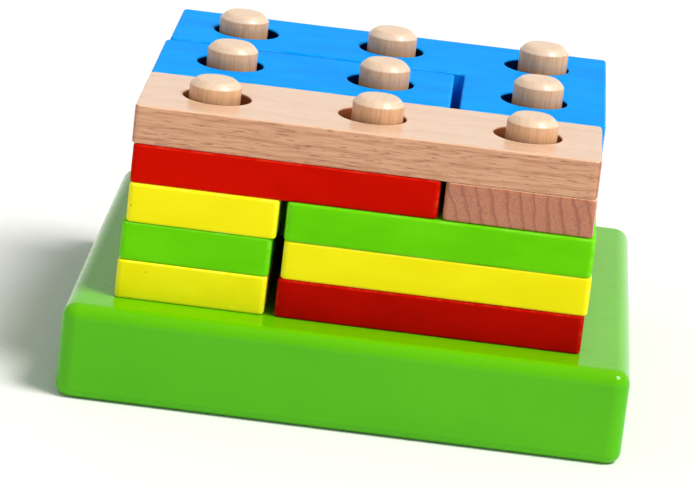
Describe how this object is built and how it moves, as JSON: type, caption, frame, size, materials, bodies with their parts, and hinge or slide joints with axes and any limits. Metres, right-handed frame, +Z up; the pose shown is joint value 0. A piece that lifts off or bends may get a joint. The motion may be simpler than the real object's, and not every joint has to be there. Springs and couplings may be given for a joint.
{
  "type": "nine-peg stacking puzzle",
  "caption": "Square wooden board with a grid of upright pegs and layers of drilled bars and corner blocks that pack into a low block and lift off one by one.",
  "frame": {"origin": "centre of the board's underside, on the surface it stands on", "axes": "+Z up along the pegs, +X to the user's right, +Y to the back"},
  "size_m": [0.13, 0.13, 0.073],
  "materials": {
    "green_base_lacquer": "glossy bright green lacquer over wood",
    "beech_peg": "clear satin lacquer over pale beech",
    "beech_block": "clear satin lacquer over beech with short dark flecks",
    "yellow_paint": "satin yellow paint over wood",
    "red_paint": "satin red paint over wood",
    "green_paint": "satin green paint over wood",
    "blue_paint": "satin blue paint over wood"
  },
  "bodies": {
    "base": {"base_board": "green_base_lacquer", "peg_front_left": "beech_peg", "peg_front_middle": "beech_peg", "peg_front_right": "beech_peg", "peg_middle_left": "beech_peg", "peg_centre": "beech_peg", "peg_middle_right": "beech_peg", "peg_back_left": "beech_peg", "peg_back_middle": "beech_peg", "peg_back_right": "beech_peg"},
    "yellow_long_bar": {"yellow_long_bar": "yellow_paint"},
    "red_ell": {"red_ell": "red_paint"},
    "natural_short_bar": {"natural_short_bar": "beech_block"},
    "green_ell": {"green_ell": "green_paint"},
    "yellow_short_bar": {"yellow_short_bar": "yellow_paint"},
    "blue_long_bar": {"blue_long_bar": "blue_paint"},
    "yellow_ell": {"yellow_ell": "yellow_paint"},
    "green_short_bar": {"green_short_bar": "green_paint"},
    "red_long_bar": {"red_long_bar": "red_paint"},
    "red_short_bar": {"red_short_bar": "red_paint"},
    "natural_ell": {"natural_ell": "beech_block"},
    "green_long_bar": {"green_long_bar": "green_paint"},
    "natural_long_bar": {"natural_long_bar": "beech_block"},
    "blue_short_bar": {"blue_short_bar": "blue_paint"},
    "blue_ell": {"blue_ell": "blue_paint"}
  },
  "joints": [
    {"name": "lift_yellow_long_bar", "type": "slide", "parent": "base", "child": "yellow_long_bar", "axis": [0, 0, 1], "range_m": [0, 0.061]},
    {"name": "lift_red_ell", "type": "slide", "parent": "yellow_long_bar", "child": "red_ell", "axis": [0, 0, 1], "range_m": [0, 0.061]},
    {"name": "lift_natural_short_bar", "type": "slide", "parent": "red_ell", "child": "natural_short_bar", "axis": [0, 0, 1], "range_m": [0, 0.061]},
    {"name": "lift_green_ell", "type": "slide", "parent": "natural_short_bar", "child": "green_ell", "axis": [0, 0, 1], "range_m": [0, 0.052]},
    {"name": "lift_yellow_short_bar", "type": "slide", "parent": "green_ell", "child": "yellow_short_bar", "axis": [0, 0, 1], "range_m": [0, 0.052]},
    {"name": "lift_blue_long_bar", "type": "slide", "parent": "yellow_short_bar", "child": "blue_long_bar", "axis": [0, 0, 1], "range_m": [0, 0.052]},
    {"name": "lift_yellow_ell", "type": "slide", "parent": "blue_long_bar", "child": "yellow_ell", "axis": [0, 0, 1], "range_m": [0, 0.043]},
    {"name": "lift_green_short_bar", "type": "slide", "parent": "yellow_ell", "child": "green_short_bar", "axis": [0, 0, 1], "range_m": [0, 0.043]},
    {"name": "lift_red_long_bar", "type": "slide", "parent": "green_short_bar", "child": "red_long_bar", "axis": [0, 0, 1], "range_m": [0, 0.043]},
    {"name": "lift_red_short_bar", "type": "slide", "parent": "red_long_bar", "child": "red_short_bar", "axis": [0, 0, 1], "range_m": [0, 0.034]},
    {"name": "lift_natural_ell", "type": "slide", "parent": "red_short_bar", "child": "natural_ell", "axis": [0, 0, 1], "range_m": [0, 0.034]},
    {"name": "lift_green_long_bar", "type": "slide", "parent": "natural_ell", "child": "green_long_bar", "axis": [0, 0, 1], "range_m": [0, 0.034]},
    {"name": "lift_natural_long_bar", "type": "slide", "parent": "green_long_bar", "child": "natural_long_bar", "axis": [0, 0, 1], "range_m": [0, 0.025]},
    {"name": "lift_blue_short_bar", "type": "slide", "parent": "green_long_bar", "child": "blue_short_bar", "axis": [0, 0, 1], "range_m": [0, 0.025]},
    {"name": "lift_blue_ell", "type": "slide", "parent": "green_long_bar", "child": "blue_ell", "axis": [0, 0, 1], "range_m": [0, 0.025]}
  ]
}
